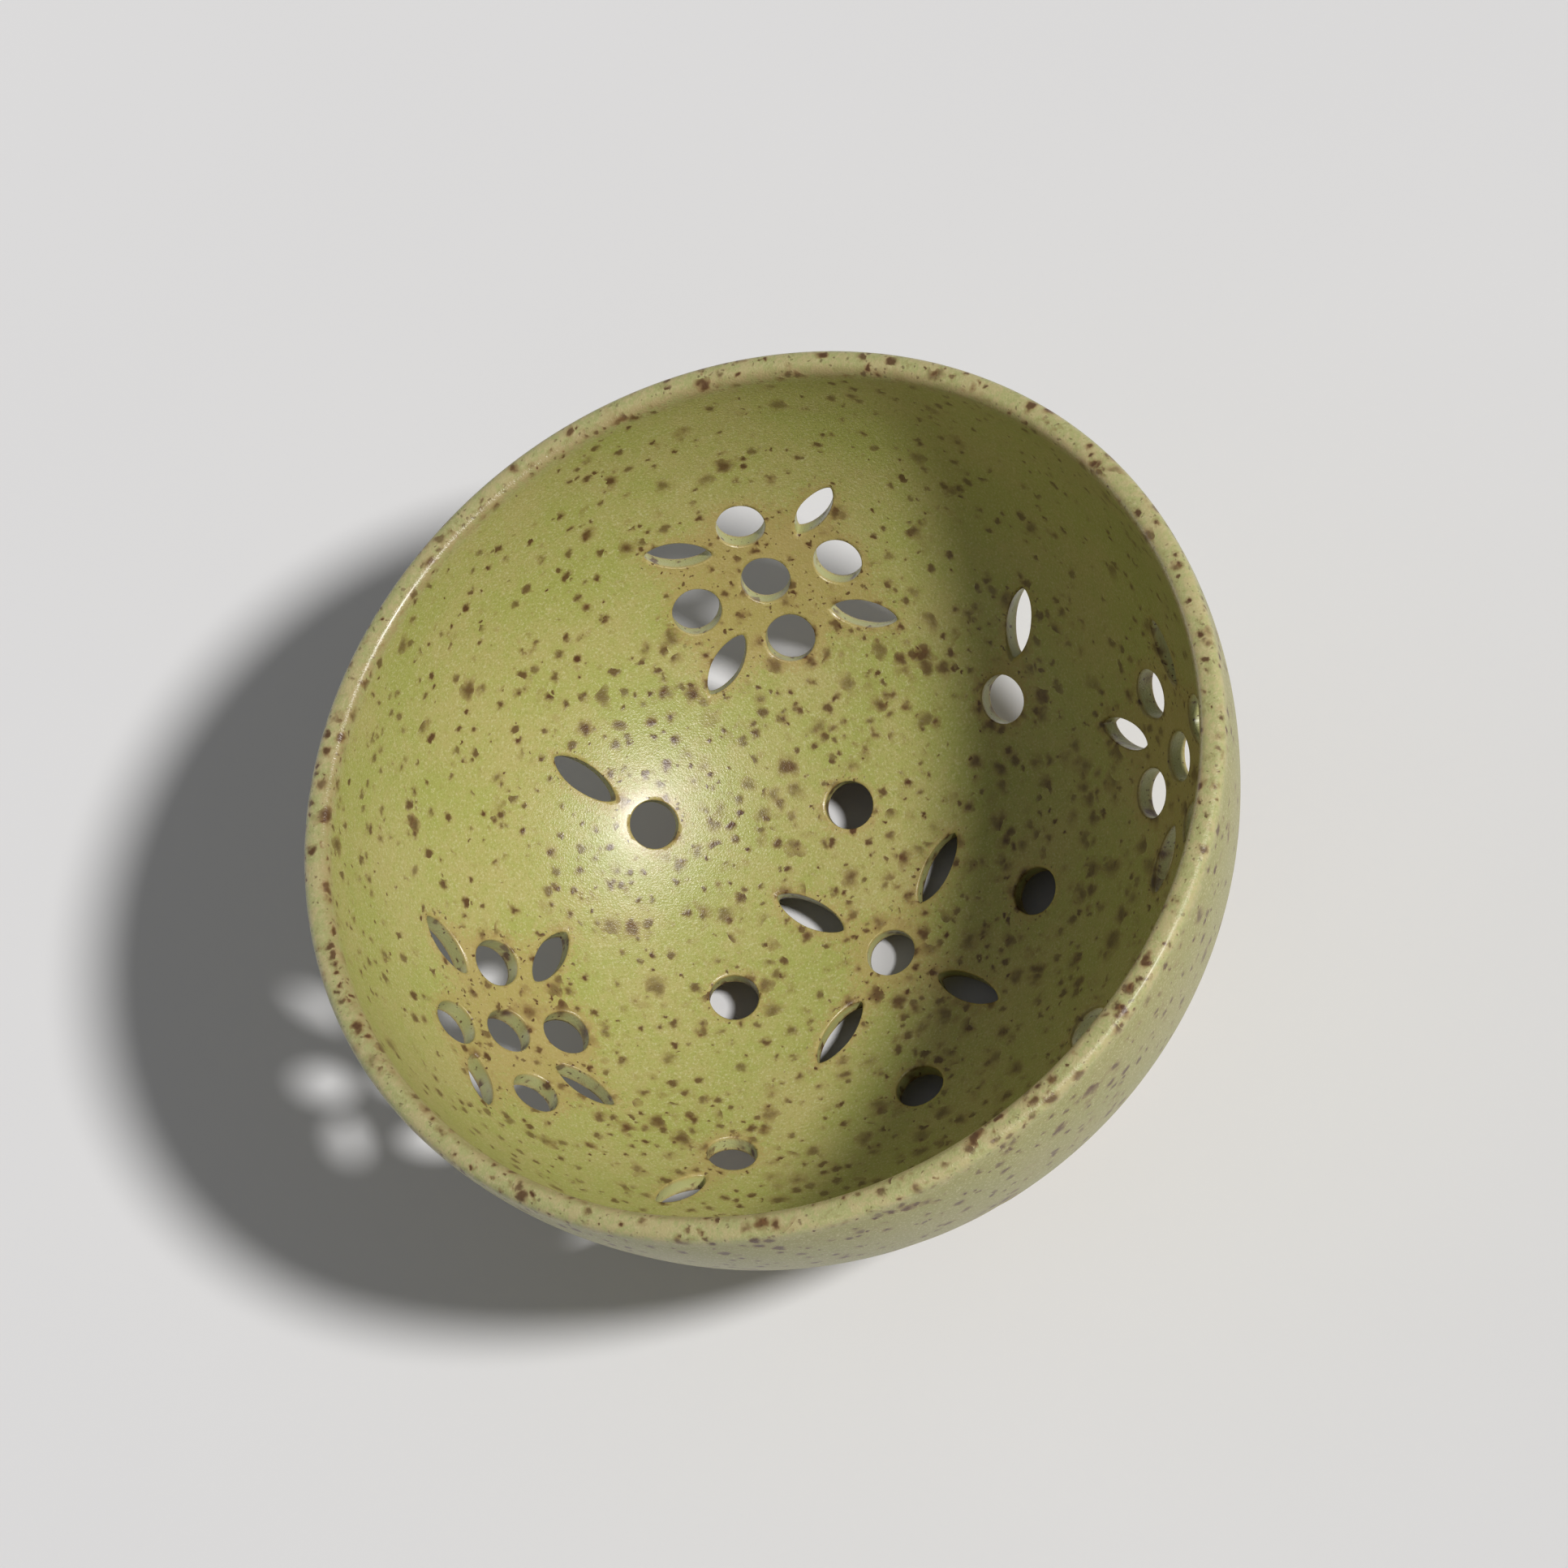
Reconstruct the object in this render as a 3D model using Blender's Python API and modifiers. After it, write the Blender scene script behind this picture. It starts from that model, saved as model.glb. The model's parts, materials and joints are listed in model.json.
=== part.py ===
# Pierced stoneware bowl on a luted foot ring: a flower frog that holds cut stems in its holes.
# Metres, +Z up, origin on the table at the middle of the foot.
import math

import bmesh
import bpy
from mathutils import Matrix, Vector

# The thrown bowl
RIM_DIAMETER = 0.150
RIM_THICKNESS = 0.0042
WALL_THICKNESS = 0.0034  # just under the swelling of the rim
FLOOR_THICKNESS = 0.0022
RIM_ROLL = 0.020  # length of the wall over which it swells to the rim
INNER_DEPTH = 0.0672  # from the floor to the middle of the lip
BELLY_ROUNDNESS = 2.25  # powers of the inner profile's rounded curve, 2 being an ellipse
FLOOR_ROUNDNESS = 2.10

# The foot ring
FOOT_INNER_DIAMETER = 0.0715
FOOT_LAND = 0.0030  # width of the flat that stands on the table
FOOT_DRAFT = 0.0004  # how much wider each side of the ring is at its top
FOOT_EDGE = 0.0006  # softened edges beside the land
FOOT_DROP = 0.0036  # the middle of the bowl's underside above the table
SLIP_JOINT = 0.0003  # the layer of slip between ring and bowl

# The holes
HOLE_DIAMETER = 0.0080
LEAF_WIDTH = 0.0046
LEAF_LENGTH = 0.0127
CLUSTER_LEAF_LENGTH = 0.0112
CUT_MARGIN = 0.0030  # how far a cutter stands out of each face of the wall

# The pattern, measured along the inner surface from the middle of the floor
SECTORS = 4
FLOOR_LEAF_ARC = 0.0158
FLOOR_HOLE_ARC = 0.0265
PAIR_HOLE_ARC = 0.0455
PAIR_LEAF_ARC = 0.0592
CLUSTER_ARC = 0.0666
CLUSTER_RISE = 0.0109  # from the middle of a cluster to the holes above and below it
CLUSTER_SIDE = 0.0124  # and to the holes beside it
CLUSTER_LEAF_SIDE = 0.0121  # and to the middles of its leaves
CLUSTER_LEAF_RISE = 0.0103
CLUSTER_DRIFT = (2.2, -0.4, 3.8, 0.0)  # degrees that each hand-marked cluster sits off its line
# The leaves of each cluster as the hand cut them: shares of the side and rise above, and degrees from level
CLUSTER_LEAVES = (
    ((0.97, -1.03, 150.0), (1.12, 1.02, 27.0), (-0.99, -1.04, 39.0), (-1.0, 1.0, 142.0)),
    ((0.93, 1.03, 33.0), (-1.02, 0.98, 135.0), (-1.09, -0.94, 17.0), (0.94, -1.02, 149.0)),
    ((-1.18, 0.98, 133.0), (-1.14, -0.98, 31.0), (0.92, 1.04, 17.0), (0.86, -0.98, 146.0)),
    ((1.0, 1.0, 38.0), (-1.0, 1.0, 142.0), (-1.0, -1.0, 38.0), (1.0, -1.0, 142.0)),
)

# Fineness of the meshes
TURN_STEPS = 72
WALL_POINTS = 18
LIP_POINTS = 6
SEAT_POINTS = 5
HOLE_SIDES = 18
LEAF_SIDE_POINTS = 7
CURVE_SAMPLES = 600

INNER_RADIUS = RIM_DIAMETER / 2 - RIM_THICKNESS
LIP_HEIGHT = FOOT_DROP + FLOOR_THICKNESS + INNER_DEPTH

GLAZE = {"name": "olive_glaze", "colour": (0.36, 0.33, 0.16), "roughness": 0.38}
CLAY = {"name": "bare_clay", "colour": (0.42, 0.28, 0.20), "roughness": 0.9}


def inner_curve():
    """Arc length, radius and height of points along the inner surface, floor to lip."""
    table = []
    arc = 0.0
    for step in range(CURVE_SAMPLES + 1):
        angle = math.pi / 2 * step / CURVE_SAMPLES
        radius = INNER_RADIUS * math.sin(angle) ** (2 / BELLY_ROUNDNESS)
        depth = INNER_DEPTH * max(math.cos(angle), 0.0) ** (2 / FLOOR_ROUNDNESS)
        height = LIP_HEIGHT - depth
        if table:
            arc += math.hypot(radius - table[-1][1], height - table[-1][2])
        table.append((arc, radius, height))
    return table


INNER_CURVE = inner_curve()
WALL_ARC = INNER_CURVE[-1][0]


def blend(table, column, value):
    """The row of a table at this value of one column, between its two nearest rows."""
    for low, high in zip(table, table[1:]):
        if value <= high[column]:
            break
    share = (value - low[column]) / (high[column] - low[column])
    return tuple(a + (b - a) * share for a, b in zip(low, high))


def wall_frame(arc):
    """Radius, height and the outward normal (radial, upward) of the inner surface at an arc length."""
    step = WALL_ARC / CURVE_SAMPLES
    _, radius, height = blend(INNER_CURVE, 0, arc)
    _, radius_a, height_a = blend(INNER_CURVE, 0, max(arc - step, 0.0))
    _, radius_b, height_b = blend(INNER_CURVE, 0, min(arc + step, WALL_ARC))
    slope = Vector((radius_b - radius_a, height_b - height_a)).normalized()
    if arc <= 0.0:
        slope = Vector((1.0, 0.0))
    if arc >= WALL_ARC:
        slope = Vector((0.0, 1.0))
    return radius, height, Vector((slope.y, -slope.x))


def wall_thickness(arc):
    """The wall thickens evenly up from the floor, then swells to the rim."""
    swell = max((arc - WALL_ARC + RIM_ROLL) / RIM_ROLL, 0.0)
    swell = swell * swell * (3.0 - 2.0 * swell)
    even = FLOOR_THICKNESS + (WALL_THICKNESS - FLOOR_THICKNESS) * arc / WALL_ARC
    return even + (RIM_THICKNESS - WALL_THICKNESS) * swell


def outer_point(arc, clearance=0.0):
    radius, height, normal = wall_frame(arc)
    reach = wall_thickness(arc) + clearance
    return radius + normal.x * reach, height + normal.y * reach


def material(look):
    made = bpy.data.materials.new(look["name"])
    made.use_nodes = True
    shader = made.node_tree.nodes["Principled BSDF"]
    shader.inputs["Base Color"].default_value = (*look["colour"], 1.0)
    shader.inputs["Roughness"].default_value = look["roughness"]
    shader.inputs["Metallic"].default_value = 0.0
    made.diffuse_color = (*look["colour"], 1.0)
    return made


def collection(name, cutters=False):
    made = bpy.data.collections.new(name)
    bpy.context.scene.collection.children.link(made)
    made.hide_render = cutters
    return made


def turned(name, points, closed, look, group):
    """A profile of (radius, height) points turned once about Z."""
    mesh = bpy.data.meshes.new(name)
    edges = [(i, i + 1) for i in range(len(points) - 1)]
    if closed:
        edges.append((len(points) - 1, 0))
    mesh.from_pydata([(radius, 0.0, height) for radius, height in points], edges, [])
    obj = bpy.data.objects.new(name, mesh)
    group.objects.link(obj)
    obj.data.materials.append(material(look))
    screw = obj.modifiers.new("turn", "SCREW")
    screw.axis = "Z"
    screw.angle = math.tau
    screw.steps = TURN_STEPS
    screw.render_steps = TURN_STEPS
    screw.use_merge_vertices = True
    screw.merge_threshold = 0.00005
    screw.use_smooth_shade = True
    return obj


def bowl_profile():
    """From the floor up the inside, over the round lip and down the outside to the underside."""
    arcs = [WALL_ARC * step / WALL_POINTS for step in range(WALL_POINTS + 1)]
    inside = [wall_frame(arc)[:2] for arc in arcs]
    outside = [outer_point(arc) for arc in reversed(arcs)]
    middle = INNER_RADIUS + RIM_THICKNESS / 2
    lip = []
    for step in range(1, LIP_POINTS):
        angle = math.pi * step / LIP_POINTS
        offset = RIM_THICKNESS / 2
        lip.append((middle - offset * math.cos(angle), LIP_HEIGHT + offset * math.sin(angle)))
    return inside + lip + outside


def foot_profile():
    """The ring's section: its seat under the bowl, its outer side, the land and its inner side."""
    seat_curve = []
    for step in range(CURVE_SAMPLES + 1):
        radius, height = outer_point(WALL_ARC * step / CURVE_SAMPLES, SLIP_JOINT)
        seat_curve.append((radius, height))
    land_in = FOOT_INNER_DIAMETER / 2
    land_out = land_in + FOOT_LAND
    side_in = land_in - FOOT_EDGE
    side_out = land_out + FOOT_EDGE
    seat_in = side_in - FOOT_DRAFT
    seat_out = side_out + FOOT_DRAFT
    points = []
    for step in range(SEAT_POINTS + 1):
        radius = seat_in + (seat_out - seat_in) * step / SEAT_POINTS
        points.append(blend(seat_curve, 0, radius))
    points += [(side_out, FOOT_EDGE), (land_out, 0.0), (land_in, 0.0), (side_in, FOOT_EDGE)]
    return points


def round_cutter(length):
    mesh = bpy.data.meshes.new("round_cutter")
    shape = bmesh.new()
    bmesh.ops.create_cone(
        shape,
        cap_ends=True,
        segments=HOLE_SIDES,
        radius1=HOLE_DIAMETER / 2,
        radius2=HOLE_DIAMETER / 2,
        depth=length,
    )
    shape.to_mesh(mesh)
    shape.free()
    return mesh


def leaf_cutter(leaf_length, length):
    """Two equal arcs that meet in points at the leaf's ends, drawn along local Y and extruded."""
    half_length = leaf_length / 2
    half_width = LEAF_WIDTH / 2
    arc_radius = (half_length**2 + half_width**2) / (2 * half_width)
    half_angle = math.asin(half_length / arc_radius)
    points = []
    for side in (1, -1):
        for step in range(LEAF_SIDE_POINTS):
            angle = half_angle * (2 * step / LEAF_SIDE_POINTS - 1)
            across = arc_radius * math.cos(angle) - (arc_radius - half_width)
            points.append((side * across, side * arc_radius * math.sin(angle)))
    curve = bpy.data.curves.new("leaf_outline", "CURVE")
    curve.dimensions = "2D"
    curve.fill_mode = "BOTH"
    curve.extrude = length / 2
    spline = curve.splines.new("POLY")
    spline.points.add(len(points) - 1)
    for point, (x, y) in zip(spline.points, points):
        point.co = (x, y, 0.0, 1.0)
    spline.use_cyclic_u = True
    outline = bpy.data.objects.new("leaf_outline", curve)
    bpy.context.scene.collection.objects.link(outline)
    graph = bpy.context.evaluated_depsgraph_get()
    mesh = bpy.data.meshes.new_from_object(outline.evaluated_get(graph))
    bpy.data.objects.remove(outline)
    shape = bmesh.new()
    shape.from_mesh(mesh)
    bmesh.ops.remove_doubles(shape, verts=shape.verts, dist=0.00001)
    bmesh.ops.recalc_face_normals(shape, faces=shape.faces)
    shape.to_mesh(mesh)
    shape.free()
    return mesh


def on_wall(arc, azimuth, turn=0.0):
    """A cutter's place: local Y up the wall, local Z square through it, turned about that."""
    radius, height, normal = wall_frame(arc)
    outward = Vector((math.cos(azimuth), math.sin(azimuth), 0.0))
    up = Vector((0.0, 0.0, 1.0))
    level = up.cross(outward)
    climb = -normal.y * outward + normal.x * up
    through = normal.x * outward + normal.y * up
    place = outward * radius + up * height + through * (wall_thickness(arc) / 2)
    axes = Matrix((level, climb, through)).transposed().to_4x4()
    return Matrix.Translation(place) @ axes @ Matrix.Rotation(turn, 4, "Z")


def hole_places():
    """Every hole as its kind and its place, from the middle of the floor outwards."""
    holes = [("round", on_wall(0.0, 0.0))]
    for sector in range(SECTORS):
        line = math.tau * sector / SECTORS
        between = line + math.pi / SECTORS
        holes.append(("leaf", on_wall(FLOOR_LEAF_ARC, between)))
        holes.append(("round", on_wall(FLOOR_HOLE_ARC, line)))
        holes.append(("round", on_wall(PAIR_HOLE_ARC, between)))
        holes.append(("leaf", on_wall(PAIR_LEAF_ARC, between)))
        middle = line + math.radians(CLUSTER_DRIFT[sector % len(CLUSTER_DRIFT)])
        for side, rise in ((0, 0), (1, 0), (-1, 0), (0, 1), (0, -1)):
            arc = CLUSTER_ARC + rise * CLUSTER_RISE
            azimuth = middle + side * CLUSTER_SIDE / wall_frame(arc)[0]
            holes.append(("round", on_wall(arc, azimuth)))
        for side, rise, tilt in CLUSTER_LEAVES[sector % len(CLUSTER_LEAVES)]:
            arc = CLUSTER_ARC + rise * CLUSTER_LEAF_RISE
            azimuth = middle + side * CLUSTER_LEAF_SIDE / wall_frame(arc)[0]
            holes.append(("cluster_leaf", on_wall(arc, azimuth, math.radians(tilt - 90.0))))
    return holes


def cut_holes(bowl, cutters):
    length = max(FLOOR_THICKNESS, RIM_THICKNESS) + 2 * CUT_MARGIN
    shapes = {
        "round": round_cutter(length),
        "leaf": leaf_cutter(LEAF_LENGTH, length),
        "cluster_leaf": leaf_cutter(CLUSTER_LEAF_LENGTH, length),
    }
    for number, (kind, place) in enumerate(hole_places()):
        cutter = bpy.data.objects.new(f"cutter_{kind}_{number:02d}", shapes[kind])
        cutters.objects.link(cutter)
        cutter.matrix_world = place
        cutter.hide_render = True
        cutter.display_type = "WIRE"
    pierce = bowl.modifiers.new("pierce", "BOOLEAN")
    pierce.operation = "DIFFERENCE"
    pierce.operand_type = "COLLECTION"
    pierce.collection = cutters
    pierce.solver = "EXACT"


def main():
    for obj in list(bpy.data.objects):
        bpy.data.objects.remove(obj)
    parts = collection("flower_frog")
    cutters = collection("hole_cutters", cutters=True)
    bowl = turned("pierced_bowl", bowl_profile(), False, GLAZE, parts)
    cut_holes(bowl, cutters)
    turned("foot_ring", foot_profile(), True, CLAY, parts)


main()
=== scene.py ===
import json
import math

import bpy
import numpy as np
from mathutils import Matrix, Vector
from mathutils.geometry import delaunay_2d_cdt

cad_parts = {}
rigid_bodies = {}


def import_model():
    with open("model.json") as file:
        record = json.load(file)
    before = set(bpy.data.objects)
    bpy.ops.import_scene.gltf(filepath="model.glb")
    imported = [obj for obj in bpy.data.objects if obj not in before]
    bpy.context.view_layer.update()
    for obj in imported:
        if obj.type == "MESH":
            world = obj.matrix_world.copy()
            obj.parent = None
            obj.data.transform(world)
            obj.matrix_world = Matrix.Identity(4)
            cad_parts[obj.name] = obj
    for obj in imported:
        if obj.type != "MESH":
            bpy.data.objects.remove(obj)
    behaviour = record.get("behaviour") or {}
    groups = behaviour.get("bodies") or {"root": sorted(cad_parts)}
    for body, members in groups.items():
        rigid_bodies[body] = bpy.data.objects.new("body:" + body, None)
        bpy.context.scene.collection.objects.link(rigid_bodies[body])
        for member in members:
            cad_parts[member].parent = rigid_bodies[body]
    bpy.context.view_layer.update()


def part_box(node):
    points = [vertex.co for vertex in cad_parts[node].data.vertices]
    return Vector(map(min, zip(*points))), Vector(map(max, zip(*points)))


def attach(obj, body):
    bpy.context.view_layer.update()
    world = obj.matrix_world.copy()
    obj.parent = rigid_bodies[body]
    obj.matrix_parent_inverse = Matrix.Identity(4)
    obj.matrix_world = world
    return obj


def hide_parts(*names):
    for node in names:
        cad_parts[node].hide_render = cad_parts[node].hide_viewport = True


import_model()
bowlLow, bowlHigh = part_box("pierced_bowl")
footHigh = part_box("foot_ring")[1]
print("frame loaded")


# The thrown wall: one rounded inner curve, thickened outwards and closed over the lip
bowlSizes = {
    "rimThickness": 0.0042,
    "wallThickness": 0.0034,
    "floorThickness": 0.0022,
    "rimRoll": 0.020,  # arc over which the wall swells to the rim
    "lipTurn": 0.002,  # arc over which the wall turns square to the lip
    "bellyRoundness": 2.25,  # 2 would be an ellipse
    "floorRoundness": 2.10,
    "lipSquareness": 2.8,  # 2 would be a half round
    "lipRings": 12,
    "lipPoints": 432,
    "latticeStep": 0.00150,  # spacing of the mesh away from the holes
    "latticeRow": 0.866,  # spacing of the lattice's rows, in steps
    "curveSamples": 3000,
    "slopeParts": 800,  # the wall's slope is taken over one such part of its arc to either side
    "sameSpot": 1e-7,  # points nearer than this are one point
}

rimRadius = bowlHigh[0]
rimThickness = bowlSizes["rimThickness"]
lipHeight = bowlHigh[2] - rimThickness / 2
floorHeight = bowlLow[2] + bowlSizes["floorThickness"]
innerRadius = rimRadius - rimThickness
innerDepth = lipHeight - floorHeight


def innerCurve():
    # arc length from the middle of the floor, radius and height along the inner surface
    angle = np.linspace(0.0, math.pi / 2, bowlSizes["curveSamples"])
    cosine = np.clip(np.cos(angle), 0.0, 1.0)
    radius = innerRadius * np.sin(angle) ** (2 / bowlSizes["bellyRoundness"])
    height = lipHeight - innerDepth * cosine ** (2 / bowlSizes["floorRoundness"])
    steps = np.hypot(np.diff(radius), np.diff(height))
    return np.concatenate([[0.0], np.cumsum(steps)]), radius, height


curveArc, curveRadius, curveHeight = innerCurve()
wallArc = curveArc[-1]


def wallFrame(arc):
    # radius, height and outward normal (radial, upward) of the inner surface
    arc = np.asarray(arc, float)
    reach = wallArc / bowlSizes["slopeParts"]
    low = np.clip(arc - reach, 0.0, wallArc)
    high = np.clip(arc + reach, 0.0, wallArc)
    acrossSlope = np.interp(high, curveArc, curveRadius) - np.interp(low, curveArc, curveRadius)
    upSlope = np.interp(high, curveArc, curveHeight) - np.interp(low, curveArc, curveHeight)
    size = np.hypot(acrossSlope, upSlope)
    belowLip = np.clip((wallArc - arc) / bowlSizes["lipTurn"], 0.0, 1.0)
    normalOut = (upSlope / size) * belowLip + (1 - belowLip)
    normalUp = (-acrossSlope / size) * belowLip
    size = np.hypot(normalOut, normalUp)
    radius = np.interp(arc, curveArc, curveRadius)
    height = np.interp(arc, curveArc, curveHeight)
    return radius, height, normalOut / size, normalUp / size


def wallThickness(arc):
    arc = np.asarray(arc, float)
    floor, wall = bowlSizes["floorThickness"], bowlSizes["wallThickness"]
    swell = np.clip((arc - wallArc + bowlSizes["rimRoll"]) / bowlSizes["rimRoll"], 0.0, 1.0)
    swell = swell * swell * (3 - 2 * swell)
    return floor + (wall - floor) * arc / wallArc + (rimThickness - wall) * swell


# The pierced pattern, measured along the inner surface from the middle of the floor
holeSizes = {
    "roundRadius": 0.0040,
    "leafHalfWidth": 0.0023,
    "leafHalfLength": 0.00635,
    "clusterLeafHalfLength": 0.0056,
    "leafPoint": 0.35,  # 0 would be an ellipse, 1 a sharp-tipped leaf
    "tipSpread": 1.3,  # how much faster a widened leaf grows at its tips
    "softEdge": 0.00025,  # radius that the sponge gives the edges
    "wobble": 0.00040,
    "wobbleSize": 140.0,
    "seed": 4,
    "sides": 40,
    "ringSpreads": (-0.0012, 0.0002, 0.0007, 0.0012, 0.0018, 0.0025),  # mesh rings about the outline
    "clearance": 0.0030,  # the mesh's lattice keeps this far off the outline
    "reach": 0.020,  # past this distance from its middle a hole is well clear
    "wellClear": 1.0,
    "leastSlope": 1e-3,  # keeps a division safe in the middle of a hole
}

patternSizes = {
    "sectors": 4,
    "floorLeaf": 0.0158,
    "floorRound": 0.0265,
    "pairRound": 0.0455,
    "pairLeaf": 0.0592,
    "cluster": 0.0666,
    "clusterRise": 0.0109,
    "clusterSide": 0.0124,
    "leafSide": 0.0121,
    "leafRise": 0.0103,
    "drift": (2.2, -0.4, 3.8, 0.0),  # degrees off line, cluster by cluster
    # each cluster's leaves as the hand cut them: shares of leafSide and leafRise, and degrees from level
    "leaves": (
        ((0.97, -1.03, 150.0), (1.12, 1.02, 27.0), (-0.99, -1.04, 39.0), (-1.0, 1.0, 142.0)),
        ((0.93, 1.03, 33.0), (-1.02, 0.98, 135.0), (-1.09, -0.94, 17.0), (0.94, -1.02, 149.0)),
        ((-1.18, 0.98, 133.0), (-1.14, -0.98, 31.0), (0.92, 1.04, 17.0), (0.86, -0.98, 146.0)),
        ((1.0, 1.0, 38.0), (-1.0, 1.0, 142.0), (-1.0, -1.0, 38.0), (1.0, -1.0, 142.0)),
    ),
}

roundHole, leafHole, clusterLeaf = range(3)
cutterNames = ("cutter0round", "cutter1leaf", "cutter2clusterLeaf")  # the tree picks them in this order


def holeMarks():
    # the kind, arc, azimuth and turn of every hole
    p = patternSizes
    marks = [(roundHole, 0.0, 0.0, 0.0)]
    for sector in range(p["sectors"]):
        line = math.tau * sector / p["sectors"]
        between = line + math.pi / p["sectors"]
        marks.append((leafHole, p["floorLeaf"], between, 0.0))
        marks.append((roundHole, p["floorRound"], line, 0.0))
        marks.append((roundHole, p["pairRound"], between, 0.0))
        marks.append((leafHole, p["pairLeaf"], between, 0.0))
        middle = line + math.radians(p["drift"][sector])
        for side, rise in ((0, 0), (1, 0), (-1, 0), (0, 1), (0, -1)):
            arc = p["cluster"] + rise * p["clusterRise"]
            radius = float(wallFrame(arc)[0])
            marks.append((roundHole, arc, middle + side * p["clusterSide"] / radius, 0.0))
        for side, rise, tilt in p["leaves"][sector]:
            arc = p["cluster"] + rise * p["leafRise"]
            azimuth = middle + side * p["leafSide"] / float(wallFrame(arc)[0])
            marks.append((clusterLeaf, arc, azimuth, math.radians(tilt - 90.0)))
    return marks


holes = holeMarks()


def halfLength(kind):
    return holeSizes["leafHalfLength" if kind == leafHole else "clusterLeafHalfLength"]


def outlinePoints(kind, spread):
    # the hole's outline, widened by spread, as (level, climb) pairs
    turn = np.linspace(0.0, math.tau, holeSizes["sides"], endpoint=False)
    if kind == roundHole:
        radius = holeSizes["roundRadius"] + spread
        return radius * np.sin(turn), radius * np.cos(turn)
    across = np.sin(turn) * np.abs(np.sin(turn)) ** holeSizes["leafPoint"]
    tip = halfLength(kind) + holeSizes["tipSpread"] * spread
    return (holeSizes["leafHalfWidth"] + spread) * across, tip * np.cos(turn)


def turned(level, climb, turn):
    cosine, sine = math.cos(turn), math.sin(turn)
    return level * cosine - climb * sine, level * sine + climb * cosine


def outlineDistance(kind, level, climb, turn):
    # how far a point lies outside the outline of a hole whose middle is at (0, 0)
    level, climb = turned(level, climb, -turn)
    if kind == roundHole:
        return np.hypot(level, climb) - holeSizes["roundRadius"]
    halfWidth = holeSizes["leafHalfWidth"]
    power = 2 / (1 + holeSizes["leafPoint"])
    wide = np.abs(level) / halfWidth
    long = np.abs(climb) / halfLength(kind)
    slope = np.hypot(power * wide ** (power - 1) / halfWidth, 2 * long / halfLength(kind))
    return (wide**power + long**2 - 1) / np.maximum(slope, holeSizes["leastSlope"])


def holeDistance(hole, arc, azimuth):
    # how far points of the surface lie outside one hole's outline
    kind, holeArc, holeAzimuth, turn = hole
    if holeArc == 0.0:
        return arc - holeSizes["roundRadius"]
    turnBy = (azimuth - holeAzimuth + math.pi) % math.tau - math.pi
    level, climb = turnBy * wallFrame(arc)[0], arc - holeArc
    near = (np.abs(level) < holeSizes["reach"]) & (np.abs(climb) < holeSizes["reach"])
    return np.where(near, outlineDistance(kind, level, climb, turn), holeSizes["wellClear"])


def latticePoints():
    # (arc, azimuth) of a hexagonal lattice that keeps clear of the holes
    step, rowShare = bowlSizes["latticeStep"], bowlSizes["latticeRow"]
    rows = int(wallArc / (step * rowShare)) + 1
    columns = int(wallArc / step) + 1
    points = []
    for row in range(-rows, rows + 1):
        shift = 0.5 * (row % 2)
        for column in range(-columns, columns + 1):
            points.append(((column + shift) * step, row * step * rowShare))
    points = np.array(points)
    arc = np.hypot(points[:, 0], points[:, 1])
    azimuth = np.arctan2(points[:, 1], points[:, 0])
    keep = arc < wallArc - 0.5 * step
    for hole in holes:
        keep &= holeDistance(hole, arc, azimuth) >= holeSizes["clearance"]
    return np.stack([arc[keep], azimuth[keep]], 1)


def holeRings():
    # (arc, azimuth) of the close rings about every hole
    rings = []
    for kind, holeArc, holeAzimuth, turn in holes:
        for spread in holeSizes["ringSpreads"]:
            level, climb = turned(*outlinePoints(kind, spread), turn)
            if holeArc == 0.0:
                rings.append(np.stack([np.hypot(level, climb), np.arctan2(climb, level)], 1))
                continue
            arc = holeArc + climb
            rings.append(np.stack([arc, holeAzimuth + level / wallFrame(arc)[0]], 1))
    return np.concatenate(rings)


def rimPoints():
    azimuth = np.linspace(0.0, math.tau, bowlSizes["lipPoints"], endpoint=False)
    return np.stack([np.full_like(azimuth, wallArc), azimuth], 1)


def lipProfile():
    # (radius, height) of each ring over the lip, from inside to outside
    half = rimThickness / 2
    power = 2 / bowlSizes["lipSquareness"]
    profile = []
    for ring in range(1, bowlSizes["lipRings"]):
        angle = math.pi * ring / bowlSizes["lipRings"]
        across = math.copysign(abs(math.cos(angle)) ** power, math.cos(angle))
        profile.append((innerRadius + half - half * across, lipHeight + half * math.sin(angle) ** power))
    return profile


def meshObject(name, points, faces):
    mesh = bpy.data.meshes.new(name)
    mesh.from_pydata(np.asarray(points).tolist(), [], faces)
    mesh.update()
    obj = bpy.data.objects.new(name, mesh)
    bpy.context.scene.collection.objects.link(obj)
    return obj


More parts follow.
